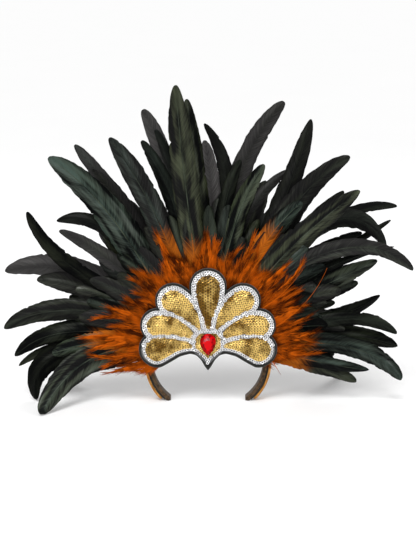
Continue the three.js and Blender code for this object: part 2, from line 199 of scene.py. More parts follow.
class Paint:
    def __init__(self, name):
        self.material = bpy.data.materials.new(name)
        self.material.use_nodes = True
        self.tree = self.material.node_tree
        self.tree.nodes.clear()

    def plug(self, socket, value):
        if isinstance(value, Value):
            self.tree.links.new(value.socket, socket)
        elif isinstance(value, (tuple, list)) and len(value) == 3 and socket.type == "RGBA":
            socket.default_value = (*value, 1.0)
        else:
            socket.default_value = value

    def node(self, kind, settings=None, sockets=None, out=0):
        made = self.tree.nodes.new("ShaderNode" + kind)
        for key, value in (settings or {}).items():
            setattr(made, key, value)
        for key, value in (sockets or {}).items():
            self.plug(made.inputs[key], value)
        return Value(self, made.outputs[out])

    def mix(self, factor, a, b):
        return self.node("Mix", {"data_type": "RGBA"}, {0: factor, 6: a, 7: b}, out=2)

    def shade(self, colour, amount):
        return self.node("VectorMath", {"operation": "SCALE"}, {0: colour, "Scale": amount})

    def noise(self, vector, scale, detail=2.0, rough=0.5):
        sockets = {"Vector": vector, "Scale": scale, "Detail": detail, "Roughness": rough}
        return self.node("TexNoise", {}, sockets)

    def stretched(self, vector, by):
        return self.node("VectorMath", {"operation": "MULTIPLY"}, {0: vector, 1: by})

    def place(self):
        return self.node("TexCoord", {}, {}, out="Object")

    def barb(self):
        return self.node("Attribute", {"attribute_name": "barb"}, {}, out="Vector")

    def plume(self):
        colour = self.node("Attribute", {"attribute_name": "plume"}, {}, out="Color")
        split = self.tree.nodes.new("ShaderNodeSeparateColor")
        self.tree.links.new(colour.socket, split.inputs[0])
        alpha = self.node("Attribute", {"attribute_name": "plume"}, {}, out="Alpha")
        return [Value(self, split.outputs[k]) for k in range(3)] + [alpha]

    def bump(self, height, distance, strength=1.0):
        return self.node("Bump", {}, {"Height": height, "Distance": distance, "Strength": strength})

    def finish(self, sockets):
        surface = self.node("BsdfPrincipled", {}, sockets)
        output = self.tree.nodes.new("ShaderNodeOutputMaterial")
        self.tree.links.new(surface.socket, output.inputs["Surface"])
        return self.material


# Feathers, by angles round the stone: root and tip are places, leave and aim the directions there, and
# reach is a share of the fan's. tone is brightness, green the share of painted green sheen, pale the
# grey-brown share and burnt the radius in mm where the orange base gives way to the dark vane
featherColumns = ["root", "leave", "tip", "reach", "aim", "wide", "tone", "green", "pale", "burnt"]
featherRows = {
    "front": [
        [178, 176, 184, 0.60, 198, 0.90, 0.75, 0.90, 0.00, 128],
        [149, 118, 130, 0.93, 147, 1.20, 0.50, 0.95, 0.00, 96],
        [114, 108, 115, 0.87, 126, 0.95, 0.35, 0.45, 0.10, 128],
        [102, 96, 97, 0.99, 94, 1.00, 0.50, 0.70, 0.05, 108],
        [82, 74, 73, 0.72, 54, 0.72, 0.50, 0.90, 0.00, 92],
        [60, 62, 57, 0.65, 39, 0.90, 0.65, 0.85, 0.00, 140],
        [42, 60, 46, 0.82, 36, 1.10, 0.50, 0.75, 0.05, 96],
        [38, 54, 20, 0.83, -45, 0.66, 0.45, 0.35, 0.18, 100],
        [0, 0, -11, 0.76, -54, 0.80, 0.35, 0.60, 0.00, 112],
        [-2, -14, -10, 0.63, -6, 0.60, 0.50, 0.60, 0.00, 106],
    ],
    "middle": [
        [172, 178, 185, 0.75, 228, 0.80, 0.30, 0.45, 0.00, 118],
        [168, 160, 177, 0.79, 216, 0.95, 0.35, 0.45, 0.08, 112],
        [146, 152, 144, 0.85, 110, 0.60, 0.15, 0.15, 0.00, 90],
        [139, 140, 143, 0.71, 158, 0.60, 0.35, 0.20, 0.35, 92],
        [143, 120, 141, 0.74, 196, 0.66, 0.15, 0.15, 0.05, 90],
        [101, 104, 108, 0.81, 126, 0.66, 0.15, 0.25, 0.00, 104],
        [95, 92, 95, 0.93, 99, 0.80, 0.30, 0.60, 0.00, 96],
        [84, 80, 80, 0.71, 62, 0.60, 0.20, 0.30, 0.00, 100],
        [57, 58, 53, 0.89, 28, 1.00, 0.30, 0.25, 0.10, 100],
        [36, 34, 27, 0.80, 8, 0.35, 0.15, 0.20, 0.00, 96],
        [4, 12, 2, 0.73, -38, 0.60, 0.20, 0.30, 0.00, 104],
        [-4, -20, -16, 0.60, -28, 0.66, 0.45, 0.60, 0.05, 112],
    ],
    "rear": [
        [180, 178, 189, 0.75, 221, 0.45, 0.20, 0.35, 0.00, 104],
        [155, 152, 161, 0.70, 180, 1.00, 0.28, 0.30, 0.20, 104],
        [137, 122, 124, 0.79, 140, 0.72, 0.25, 0.25, 0.25, 92],
        [104, 100, 104, 0.83, 120, 0.55, 0.12, 0.20, 0.05, 92],
        [84, 76, 91, 0.83, 128, 0.60, 0.14, 0.12, 0.06, 92],
        [58, 60, 65, 0.93, 76, 0.85, 0.18, 0.15, 0.08, 92],
        [42, 66, 27, 0.77, -66, 0.85, 0.22, 0.20, 0.06, 92],
        [33, 40, 31, 0.73, 20, 0.25, 0.15, 0.20, 0.00, 92],
        [22, 32, 25, 0.72, 24, 1.00, 0.40, 0.75, 0.00, 96],
        [12, 12, 7, 0.67, 4, 0.35, 0.20, 0.40, 0.00, 96],
        [2, 6, -3, 0.74, -24, 0.80, 0.20, 0.35, 0.00, 100],
    ],
    "back": [
        [152, 146, 163, 0.83, 202, 1.05, 0.35, 0.05, 0.55, 92],
        [124, 116, 125, 0.90, 132, 0.72, 0.30, 0.20, 0.30, 92],
        [101, 102, 106, 0.91, 119, 0.83, 0.40, 0.05, 0.60, 92],
        [88, 86, 91, 0.76, 102, 0.80, 0.60, 0.00, 0.85, 92],
        [84, 82, 72, 0.95, 44, 0.85, 0.25, 0.10, 0.35, 92],
        [76, 72, 64, 0.72, 28, 0.50, 0.20, 0.15, 0.35, 92],
        [50, 52, 47, 0.77, 36, 0.50, 0.15, 0.15, 0.00, 92],
        [46, 50, 34, 0.89, -8, 0.50, 0.15, 0.15, 0.05, 92],
        [39, 42, 34, 0.72, 12, 0.55, 0.15, 0.20, 0.00, 92],
        [32, 36, 32, 0.84, 30, 0.35, 0.15, 0.15, 0.00, 92],
        [20, 22, 20, 0.62, 16, 0.70, 0.20, 0.35, 0.00, 92],
        [18, 10, 13, 0.69, 34, 0.60, 0.15, 0.25, 0.00, 92],
    ],
}
# Droopers end at the floor: out is the tip's place to the side, sweep how far it swings back, or
# forwards below zero, and start where that begins, all as shares of the fan's reach
drooperColumns = ["root", "leave", "out", "aim", "wide", "sweep", "start", "tone", "green", "pale", "burnt"]
drooperRows = {
    "front": [[182, 178, -0.625, 245, 1.20, -0.175, 0.4, 0.65, 0.95, 0.05, 100]],
    "middle": [[184, 180, -0.667, 284, 1.00, -0.03, 0.4, 0.10, 0.15, 0.00, 92]],
    "rear": [],
    "back": [
        [187, 184, -0.57, 236, 1.00, 0.175, 0.3, 0.20, 0.30, 0.00, 92],
        [-6, -4, 0.55, -56, 1.00, 0.25, 0.3, 0.20, 0.30, 0.00, 92],
    ],
}
# fill is the first angle, the last and the step of the small feathers between the named ones
rowLayout = {
    "front": {"depth": 3.0, "lean": 0.0, "fill": (8, 172, 9.0), "fillReach": 0.50},
    "middle": {"depth": 4.9, "lean": 0.09, "fill": (-10, 190, 8.0), "fillReach": 0.53},
    "rear": {"depth": 6.8, "lean": 0.18, "fill": (-12, 192, 8.0), "fillReach": 0.56},
    "back": {"depth": 8.7, "lean": 0.28, "fill": (-8, 188, 7.5), "fillReach": 0.60},
}
coque = {
    "quillStart": 40.0, "width": 28.5, "neck": 0.42, "stations": 84, "sides": 3, "sheet": 0.28,
    "fold": 0.44, "ripple": 1.3, "rag": 0.03, "notches": 2, "quillWide": 0.95, "seed": 11,
    # olive, moss and teal are colours of painted sheen and highlight; black, grey, rust and amber are the
    # feathers' own
    "black": (0.0022, 0.0026, 0.0026), "oliveSheen": (0.052, 0.062, 0.027), "mossSheen": (0.036, 0.050, 0.036),
    "tealHighlight": (0.034, 0.074, 0.061), "grey": (0.125, 0.119, 0.117),
    "rust": (0.16, 0.030, 0.003), "amber": (0.56, 0.15, 0.010),
}
# Shared by every vane: a pair is a range that each feather draws from
vane = {
    "blunt": (0.38, 0.54), "tipPower": (1.8, 2.5), "waves": (14, 26), "waveDepth": 0.035,
    "slant": 0.62, "widest": 0.5, "torn": (3, 6), "twist": 0.42, "rootTwist": 0.12,
    "ripples": (9, 17), "folds": (0.6, 1.25), "freed": 60.0, "fade": 52.0, "lowest": 0.5,
}
shaft = {
    "stations": 22, "sides": 6, "end": 0.97, "taper": 0.8, "flat": 0.8, "lowest": 0.6,
    "fadeFrom": 10.0, "fade": 40.0,
}


def bezier(ends, t):
    a, b, c, d = ends
    t = np.asarray(t)[..., None]
    point = (1 - t) ** 3 * a + 3 * (1 - t) ** 2 * t * b + 3 * (1 - t) * t ** 2 * c + t ** 3 * d
    along = 3 * (1 - t) ** 2 * (b - a) + 6 * (1 - t) * t * (c - b) + 3 * t ** 2 * (d - c)
    return point, along / np.maximum(np.linalg.norm(along, axis=-1, keepdims=True), 1e-9)


# A quill as a curve that leaves its root in one direction and ends in another
def quillLine(root, leave, aim, tipPoint, start):
    begin = fromHub(root, start)
    chord = np.linalg.norm(tipPoint - begin)
    handle = chord / 3 / math.cos(math.radians(aim - leave) / 4) ** 2
    leaving = np.array([math.cos(math.radians(leave)), math.sin(math.radians(leave))])
    aiming = np.array([math.cos(math.radians(aim)), math.sin(math.radians(aim))])
    return [begin, begin + leaving * handle, tipPoint - aiming * handle, tipPoint], chord


# Depth at a radius: level up to start, then leaning back, or forwards where lean is below zero
def leaningFrom(start, depth, lean):
    return lambda radius: depth + lean * np.maximum(0, radius - start)


# What each point tells the material: tone, green painted sheen, orange base and pale share
def plumeOf(look, orange):
    full = np.ones_like(orange)
    return np.stack([full * look["tone"], full * look["green"], orange, full * look["pale"]], -1)


# One vane: barbs leave the quill forwards, so the grid is sheared towards the tip
def addVane(pile, rng, ends, chord, width, depthAt, look, s):
    blunt, tipPower = rng.uniform(*vane["blunt"]), rng.uniform(*vane["tipPower"])
    waves, phase = rng.uniform(*vane["waves"]), rng.uniform(0, 6)
    t = np.linspace(0, 1, s["stations"]) ** 0.97
    v = np.linspace(-1, 1, 2 * s["sides"] + 1)
    edge = np.abs(v)[None, :] ** 5
    frayed = np.array([[rng.gauss(0, 1) for _ in v] for _ in t])
    frayed = (frayed + np.roll(frayed, 1, 0)) * 0.6
    for _ in range(s["notches"]):
        frayed[rng.randint(len(t) // 3, len(t) - 6), rng.choice([0, -1])] = -rng.uniform(*vane["torn"])
    slant = vane["slant"] * width / chord
    forward = np.minimum(slant, 0.92 * (1 - t))[:, None] * np.abs(v)[None, :] ** 1.15
    tt = np.clip(t[:, None] + forward, 0, 1)
    widest = vane["widest"]
    swell = s["neck"] + (1 - s["neck"]) * smooth(tt / widest)
    tipped = 1 - np.clip((tt - widest) / (1 - widest), 0, 1) ** tipPower
    wavy = 1 + vane["waveDepth"] * np.sin(tt * waves + phase)
    half = width / 2 * swell * np.maximum(tipped, 0.0) ** blunt * wavy
    half = half * (1 + s["rag"] * frayed * edge)
    point, along = bezier(ends, tt)
    radius = hubRadius(point)
    free = smooth((radius - fanStart) / vane["freed"])
    twist = rng.uniform(-vane["twist"], vane["twist"]) * tt
    twist = twist + rng.uniform(-vane["rootTwist"], vane["rootTwist"])
    side = half * v[None, :]
    waving = np.sin(tt * rng.uniform(*vane["ripples"]) + v[None, :] * 1.5 + rng.uniform(0, 6))
    ripple = s["ripple"] * waving * np.abs(v) ** 1.5
    fold = s["fold"] * rng.uniform(*vane["folds"])
    y = depthAt(radius) + free * (np.abs(side) * fold + side * np.sin(twist) + ripple)
    flat = point + leftOf(along) * (side * np.cos(twist * free))[..., None]
    points = np.stack([flat[..., 0], y, np.maximum(flat[..., 1], vane["lowest"])], -1)
    length = t[:, None] * chord * np.ones_like(tt)
    barb = np.stack([length, side, np.full_like(tt, rng.uniform(0, 40))], -1)
    orange = 1 - smooth((radius - look["burnt"] + vane["fade"] / 2) / vane["fade"])
    plume = plumeOf(look, orange)
    pile.add(points.reshape(-1, 3), gridFaces(*points.shape[:2]), barb.reshape(-1, 3), plume.reshape(-1, 4))


# The tapered shaft, on its own pile because it is a closed tube
def addShaft(pile, ends, chord, wide, depthAt, look):
    stations, sides = shaft["stations"], shaft["sides"]
    t = np.linspace(0, shaft["end"], stations)
    point, along = bezier(ends, t)
    across = leftOf(along)
    radius = hubRadius(point)
    thick = wide * (1 - shaft["taper"] * t)
    turn = np.arange(sides) / sides * 2 * math.pi
    x = point[:, 0][:, None] + across[:, 0][:, None] * np.cos(turn) * thick[:, None]
    z = point[:, 1][:, None] + across[:, 1][:, None] * np.cos(turn) * thick[:, None]
    depth = depthAt(radius)[:, None] + np.sin(turn)[None, :] * thick[:, None] * shaft["flat"]
    points = np.stack([x, depth, np.maximum(z, shaft["lowest"])], -1).reshape(-1, 3)
    orange = 1 - smooth((radius - look["burnt"] + shaft["fadeFrom"]) / shaft["fade"])
    barb = np.stack([t * chord, np.zeros(stations), np.full(stations, 3.0)], -1)
    plume = plumeOf(look, orange)
    pile.add(points, tubeFaces(stations, sides), np.repeat(barb, sides, 0), np.repeat(plume, sides, 0))


def coqueFinish():
    paint, s = Paint("coque plume"), coque
    barb = paint.barb()
    tone, green, orange, pale = paint.plume()
    streak = paint.noise(paint.stretched(barb, (0.85, 0.05, 1.0)), 1.0, 3.0, 0.6)
    fine = paint.noise(paint.stretched(barb, (2.6, 0.12, 1.0)), 1.0, 2.0, 0.6)
    sheenStreaks = paint.noise(paint.stretched(barb, (0.018, 0.15, 1.0)), 1.0, 1.0)
    patch = paint.noise(paint.stretched(barb, (0.03, 0.12, 1.0)), 1.0, 2.0)
    across = paint.node("SeparateXYZ", {}, {0: barb}, out=1)
    fromQuill = paint.node("Math", {"operation": "ABSOLUTE"}, {0: across})
    ridge = (1 - fromQuill * 0.16).clamped()
    # Painted sheen: noise streaks along the feather lift the black towards olive or moss in the base colour
    sheen = ((patch - 0.47) * 3.0 + (sheenStreaks - 0.45) * 3.0 + (streak - 0.5) * 1.8 + ridge * 0.3) * green
    sheen = sheen.clamped()
    own = ((paint.noise(paint.stretched(barb, (0.0, 0.0, 1.0)), 1.0) - 0.46) * 8.0).clamped()  # per feather
    colour = paint.mix(sheen, s["black"], paint.mix(own, s["oliveSheen"], s["mossSheen"]))
    # Painted highlight: a teal gleam along the quill and in the sheen streaks, in the base colour
    gleam = (ridge * 0.8 + (streak - 0.55) * 1.4 + (sheenStreaks - 0.5) * 2.0) * (patch - 0.35) * 3.0
    tealHighlight = (gleam * green * (own * 0.8 + 0.2)).clamped()
    colour = paint.mix(tealHighlight * 0.7, colour, s["tealHighlight"])
    grey = (pale * (0.30 + 1.9 * (streak - 0.25)) * (1.15 - ridge * 0.5)).clamped()
    colour = paint.mix(grey, colour, s["grey"])
    burnt = ((orange - 0.5) * 1.7 + 0.5 + (streak - 0.5) * 2.0).clamped()
    rust = paint.mix(streak, s["rust"], s["amber"])
    colour = paint.mix(burnt * (orange * 3.0).clamped(), colour, rust)
    colour = paint.shade(colour, (0.42 + 1.2 * tone) * (0.02 + 2.0 * fine))
    coat = (sheen * 0.50 + tealHighlight * 0.65 + pale * streak * 0.25).clamped() * (1 - burnt)
    return paint.finish({
        "Base Color": colour, "Roughness": (0.36 + 0.3 * streak).clamped(), "Specular IOR Level": 0.03,
        "Coat Weight": coat, "Coat Roughness": 0.28,
        "Normal": paint.bump(fine * 0.8 + streak, 0.0010, 0.6),
    })


def coqueRow(name, rowIndex):
    layout, s = rowLayout[name], coque
    rng = random.Random(s["seed"] + rowIndex)
    vanes, shafts = Pile(), Pile()

    def leaning(extra):
        return leaningFrom(fanStart, layout["depth"], layout["lean"] + extra)

    def feather(f, tipPoint, depthAt):
        look = {key: f[key] for key in ("tone", "green", "pale", "burnt")}
        ends, chord = quillLine(f["root"], f["leave"], f["aim"], tipPoint, s["quillStart"])
        addVane(vanes, rng, ends, chord, f["wide"] * s["width"], depthAt, look, s)
        addShaft(shafts, ends, chord, s["quillWide"] * (0.6 + 0.4 * f["wide"]), depthAt, look)

    first, last, step = layout["fill"]
    angle = first
    while angle <= last:
        reach = layout["fillReach"] * rng.uniform(0.80, 1.08)
        droop = 14 * math.cos(math.radians(angle)) * rng.uniform(0.2, 1.4)
        f = {
            "root": angle, "leave": angle + droop * 0.5, "tip": angle, "reach": reach, "aim": angle - droop,
            "wide": rng.uniform(0.65, 1.05), "tone": rng.uniform(0.12, 0.42),
            "green": rng.uniform(0.2, 0.85), "pale": rng.choice([0, 0, 0.1, 0.2]),
            "burnt": rng.uniform(78, 96),
        }
        feather(f, fromHub(angle, reach * fanReach), leaning(0.034 + rng.uniform(-0.01, 0.01)))
        angle += step * rng.uniform(0.8, 1.2)
    for i, row in enumerate(featherRows[name]):
        f = dict(zip(featherColumns, row))
        feather(f, fromHub(f["tip"], f["reach"] * fanReach), leaning(0.012 if i % 2 else -0.010))
    for row in drooperRows[name]:
        d = dict(zip(drooperColumns, row))
        tipPoint = np.array([d["out"] * fanReach, 2.0])
        tipRadius = hubRadius(tipPoint)
        begin = d["start"] * fanReach

        def sweeping(radius, d=d, begin=begin, tipRadius=tipRadius):
            swing = smooth((radius - begin) / (tipRadius - begin) / 2) * 2
            return leaning(0.0)(radius) + d["sweep"] * fanReach * swing

        feather(d, tipPoint, sweeping)
    title = "coque_" + name
    vanes.piece(title + "_vanes", coquePaint, "dark_coque", [title], sheet=s["sheet"])
    shafts.piece(title + "_quills", coquePaint, "dark_coque")


coquePaint = coqueFinish()
for index, rowName in enumerate(rowLayout):
    coqueRow(rowName, index)

# Orange hackles: how far they reach round the plaque, as a share of the fan's reach
hackleReach = [
    (-16, 0.32), (-8, 0.40), (0, 0.44), (5, 0.48), (12, 0.42), (20, 0.39), (30, 0.44), (38, 0.52),
    (42, 0.51), (47, 0.44), (55, 0.37), (62, 0.41), (71, 0.47), (77, 0.36), (82, 0.42), (86, 0.50),
    (89, 0.53), (92, 0.45), (96, 0.34), (102, 0.35), (110, 0.40), (116, 0.48), (121, 0.39), (130, 0.42),
    (140, 0.41), (148, 0.36), (155, 0.41), (165, 0.42), (175, 0.50), (183, 0.49), (190, 0.47),
    (194, 0.44), (198, 0.40), (205, 0.33),
]
# Bare quills that stand free of the rest: the first five columns of a feather
strayQuills = [
    [60, 62, 59, 0.55, 60], [13, 30, 35, 0.55, 72], [-14, -36, -24, 0.31, -52], [34, 30, 40, 0.47, 58],
]
stray = {"start": 70.0, "wide": 0.55, "tone": 0.7, "depth": -1.6, "lean": -0.16, "leanFrom": 80.0}
hackle = {
    "first": -15.0, "last": 205.0, "step": 5.2, "layers": 3, "start": 52.0, "width": 5.0, "barbs": 50,
    "barbLong": 19.0, "barbWide": 0.33, "depth": 1.1, "lean": -0.12, "leanFrom": 91.0, "bend": 26.0,
    "sheet": 0.22, "seed": 5,
    "umber": (0.048, 0.007, 0.000), "orange": (0.50, 0.090, 0.002), "yellow": (0.72, 0.20, 0.012),
}
hackleSheet = {
    "neck": 0.7, "stations": 22, "sides": 2, "fold": 0.2, "ripple": 0.5, "rag": 0.16, "notches": 2,
}


# Loose barbs on both sides of a hackle: thin closed prisms that taper to a point
def addBarbs(pile, rng, ends, chord, depthAt, s):
    n = s["barbs"]
    t = np.tile(np.linspace(0.22, 0.985, n), 2)
    side = np.repeat([-1.0, 1.0], n)
    point, along = bezier(ends, t)
    across = leftOf(along) * side[:, None]
    spread = np.radians(25 - 17 * t + np.array([rng.gauss(0, 5) for _ in t]))
    way = along * np.cos(spread)[:, None] + across * np.sin(spread)[:, None]
    long = s["barbLong"] * (1 - 0.45 * t) * np.array([rng.uniform(0.55, 1.2) for _ in t])
    radius = hubRadius(point)
    y = depthAt(radius)
    lift = np.array([rng.gauss(-0.4, 1.3) for _ in t]) * smooth((radius - 70) / 30)
    cross = leftOf(way)
    rings = []
    for k, share in enumerate((1.0, 0.8, 0.12)):
        u = k / 2
        centre = point + way * (long * u)[:, None] + along * (long * 0.18 * u * u)[:, None]
        wide = s["barbWide"] * share
        for turn in (0.5, 2.6, 4.7):
            x = centre[:, 0] + cross[:, 0] * wide * math.cos(turn)
            z = centre[:, 1] + cross[:, 1] * wide * math.cos(turn)
            rings.append(np.stack([x, y + lift * u + wide * math.sin(turn) * 0.6, np.maximum(z, 0.4)], -1))
    corners = len(rings)
    points = np.stack(rings, 1).reshape(-1, 3)
    faces = [[k + corners * i for k in face] for i in range(len(t)) for face in tubeFaces(3, 3)]
    barb = np.stack([t * chord, side * long, np.full_like(t, rng.uniform(0, 40))], -1)
    whole = rng.uniform(0.0, 1.0)
    tone = np.array([0.65 * whole + rng.uniform(0, 0.35) for _ in t])
    plume = np.stack([tone, t, np.zeros_like(t), np.zeros_like(t)], -1)
    pile.add(points, faces, np.repeat(barb, corners, 0), np.repeat(plume, corners, 0))


def hackleFinish():
    paint, s = Paint("orange hackle"), hackle
    tone = paint.plume()[0]
    streak = paint.noise(paint.stretched(paint.barb(), (0.6, 0.12, 1.0)), 1.0, 3.0, 0.6)
    clump = paint.noise(paint.place(), 70.0, 2.0)
    deep = ((clump - 0.44) * 2.6 + (tone - 0.28) * 1.7).clamped()
    colour = paint.mix(deep, s["umber"], s["orange"])
    colour = paint.mix(((streak - 0.55) * 3.0).clamped() * 0.5, colour, s["yellow"])
    return paint.finish({
        "Base Color": colour, "Roughness": 0.62, "Specular IOR Level": 0.04,
        "Normal": paint.bump(streak, 0.0004, 0.4),
    })


def hackleRow():
    s, rng = hackle, random.Random(hackle["seed"])
    angles, reaches = zip(*hackleReach)
    sheets, barbs = Pile(), Pile()
    plain = {"green": 0.5, "pale": 0.0, "burnt": fanReach}  # orange from end to end
    for layer in range(s["layers"]):
        angle = s["first"] + layer * s["step"] / s["layers"]
        while angle < s["last"]:
            at = angle + rng.uniform(-1.5, 1.5)
            most = np.interp(at, angles, reaches) * fanReach
            reach = most * (1.02 - 0.36 * rng.random() ** 1.2) * (1 - 0.05 * layer)
            extra = rng.uniform(-0.02, 0.05) - 0.02 * layer
            depthAt = leaningFrom(s["leanFrom"], s["depth"], s["lean"] + extra)
            bend = rng.uniform(-s["bend"], s["bend"])
            ends, chord = quillLine(at, at - bend, at + bend, fromHub(at, reach), s["start"])
            look = dict(plain, tone=rng.random())
            width = s["width"] * rng.uniform(0.8, 1.2)
            addVane(sheets, rng, ends, chord, width, depthAt, look, hackleSheet)
            addBarbs(barbs, rng, ends, chord, depthAt, s)
            angle += s["step"]
    depthAt = leaningFrom(stray["leanFrom"], stray["depth"], stray["lean"])
    for root, leave, tip, reach, aim in strayQuills:
        ends, chord = quillLine(root, leave, aim, fromHub(tip, reach * fanReach), stray["start"])
        addShaft(barbs, ends, chord, stray["wide"], depthAt, dict(plain, tone=stray["tone"]))
    sheets.piece("hackle_vanes", hacklePaint, "orange_hackle", ["hackle_orange"], sheet=s["sheet"])
    barbs.piece("hackle_barbs", hacklePaint, "orange_hackle")


hacklePaint = hackleFinish()
hackleRow()

# The plaque: petals as in the solid model, angles about the stone and shares of the reach
petalColumns = ["name", "from", "near", "to", "out", "full", "arch"]
petalRows = [
    ["petal_gold_1", 187, 0.22, 186, 0.660, 0.147, -0.05],
    ["petal_gold_2", 154, 0.20, 159, 0.685, 0.143, -0.05],
    ["petal_gold_3", 123, 0.22, 128, 0.718, 0.147, -0.04],
    ["petal_gold_4", 90, 0.20, 90, 0.750, 0.155, 0.0],
    ["petal_gold_5", 57, 0.22, 52, 0.718, 0.147, 0.04],
    ["petal_gold_6", 26, 0.20, 21, 0.685, 0.143, 0.05],
    ["petal_gold_7", -7, 0.22, -6, 0.660, 0.147, 0.05],
]
dividerColumns = ["from", "near", "to", "out", "arch"]
dividerRows = [
    [172, 0.18, 175.5, 0.87, -0.065], [129, 0.24, 146.5, 0.86, -0.05], [104, 0.21, 110.6, 0.83, -0.035],
    [76, 0.21, 69.4, 0.83, 0.035], [51, 0.24, 33.5, 0.86, 0.05], [8, 0.18, 4.5, 0.87, 0.065],
]
plaque = {
    "boardThick": 3.0, "padThick": 1.3, "dome": 3.0, "border": 4.6, "rim": 2.4, "divider": 4.8,
    "petalNeck": 1.8, "fieldHalf": 14.0, "fieldTop": 13.0, "fieldPoint": 15.5, "gap": 0.3, "rays": 1200,
    "rimRound": 1.5, "heart": 18.0, "black": (0.003, 0.003, 0.0028), "lint": (0.028, 0.029, 0.024),
}
padBack = -plaque["boardThick"] - plaque["gap"]
padFront = padBack - plaque["padThick"]
petals = [dict(zip(petalColumns, row)) for row in petalRows]
dividers = [dict(zip(dividerColumns, row)) for row in dividerRows]


def archedLine(line, t):
    start = fromHub(line["from"], line["near"] * plaqueReach)
    end = fromHub(line["to"], line["out"] * plaqueReach)
    side = np.array([start[1] - end[1], end[0] - start[0]])
    rise = 4 * line["arch"] * plaqueReach * t * (1 - t) / np.linalg.norm(side)
    return start + (end - start) * t[:, None] + side * rise[:, None]


def heading(points):
    way = np.gradient(points, axis=0)
    return way / np.linalg.norm(way, axis=1, keepdims=True)


# Stations along a petal: centre, direction and half width, from the neck to the round end
def petalStations(petal, grow):
    full, neck = petal["full"] * plaqueReach + grow, plaque["petalNeck"] + grow
    t = np.linspace(0, 1, 30)
    line = archedLine(petal, t)
    way = heading(line)
    half = neck + (full - neck) * np.sin(t * math.pi / 2)
    turn = np.radians(np.linspace(3, 88, 22))
    tip = line[-1] + way[-1] * (full * np.sin(turn))[:, None]
    centre = np.vstack([line[:1] - way[:1] * max(neck, 0.5) * 0.9, line, tip])
    ways = np.vstack([way[:1], way, np.repeat(way[-1:], len(turn), 0)])
    halves = np.concatenate([[max(neck, 0.5) * 0.45], half, full * np.cos(turn)])
    return centre, ways, np.maximum(halves, 0.2)


def petalOutline(petal, grow):
    centre, way, half = petalStations(petal, grow)
    out = leftOf(way) * half[:, None]
    return np.vstack([centre + out, (centre - out)[::-1]])


def fieldOutline(grow):
    side, top, point = plaque["fieldHalf"] + grow, plaque["fieldTop"], plaque["fieldPoint"]
    half = [(side * 0.62, top + grow), (side, top * 0.55 + grow * 0.5), (side, -point * 0.25 - grow * 0.5),
            (side * 0.42, -point * 0.72 - grow)]
    outline = half + [(0, -point - grow * 1.75)] + [(-x, z) for x, z in half[::-1]]
    return np.array(outline) + np.array([0, hubHeight])


# Lower edge of the board from the left arch to the point, about the stone
skirt = [(-72.5, -18.8), (-68.0, -23.0), (-64.0, -25.4), (-59.0, -27.0), (-52.8, -27.0), (-41.8, -20.8),
         (-30.8, -14.0), (-19.8, -11.0), (-13.2, -12.6), (-7.7, -18.2), (-3.3, -26.2), (0.0, -30.3)]


def skirtOutline(grow):
    left = evenly(np.array(skirt), 0.8)
    for _ in range(6):
        left[1:-1] = (left[:-2] + left[1:-1] * 2 + left[2:]) / 4
    left = left + leftOf(heading(left)) * (plaque["border"] + plaque["rim"] - grow)
    left = left[left[:, 0] < -0.2]
    tip = left[-1] + (left[-1] - left[-2]) * (left[-1, 0] / (left[-2, 0] - left[-1, 0]))
    outline = np.vstack([left, tip[None] * [0, 1], (left * [-1, 1])[::-1], [[0, 6]]])
    return outline + np.array([0, hubHeight])


# The furthest edge of petals and skirt along rays from the heart of the board
def wholeOutline(grow):
    shapes = [petalOutline(p, grow) for p in petals] + [skirtOutline(grow)]
    angle = np.arange(plaque["rays"]) / plaque["rays"] * 2 * math.pi
    ray = np.stack([np.cos(angle), np.sin(angle)], -1)
    best = np.zeros(len(angle))
    heart = np.array([0, hubHeight + plaque["heart"]])
    for shape in shapes:
        a = shape - heart
        e = np.roll(a, -1, 0) - a
        cross = ray[:, 0][:, None] * e[:, 1] - ray[:, 1][:, None] * e[:, 0]
        cross = np.where(np.abs(cross) < 1e-9, 1e-9, cross)
        far = (a[:, 0] * e[:, 1] - a[:, 1] * e[:, 0])[None, :] / cross
        share = (a[:, 0][None, :] * ray[:, 1][:, None] - a[:, 1][None, :] * ray[:, 0][:, None]) / cross
        best = np.maximum(best, np.where((share >= 0) & (share <= 1) & (far > 0), far, 0).max(1))
    soft = (np.roll(best, 1) + best * 2 + np.roll(best, -1)) / 4
    return ray * soft[:, None] + heart


def loop(outline, depth):
    return np.stack([outline[:, 0], np.full(len(outline), depth), outline[:, 1]], -1)


def boardFinish():
    paint = Paint("black felt")
    fuzz = paint.noise(paint.place(), 900.0, 3.0, 0.7)
    worn = paint.noise(paint.place(), 60.0, 2.0)
    colour = paint.mix((fuzz * 0.7 + worn * 0.4).clamped(), plaque["black"], plaque["lint"])
    return paint.finish({
        "Base Color": colour, "Roughness": 0.9, "Specular IOR Level": 0.2,
        "Sheen Weight": 0.2, "Sheen Roughness": 0.5, "Normal": paint.bump(fuzz, 0.0004, 0.6),
    })


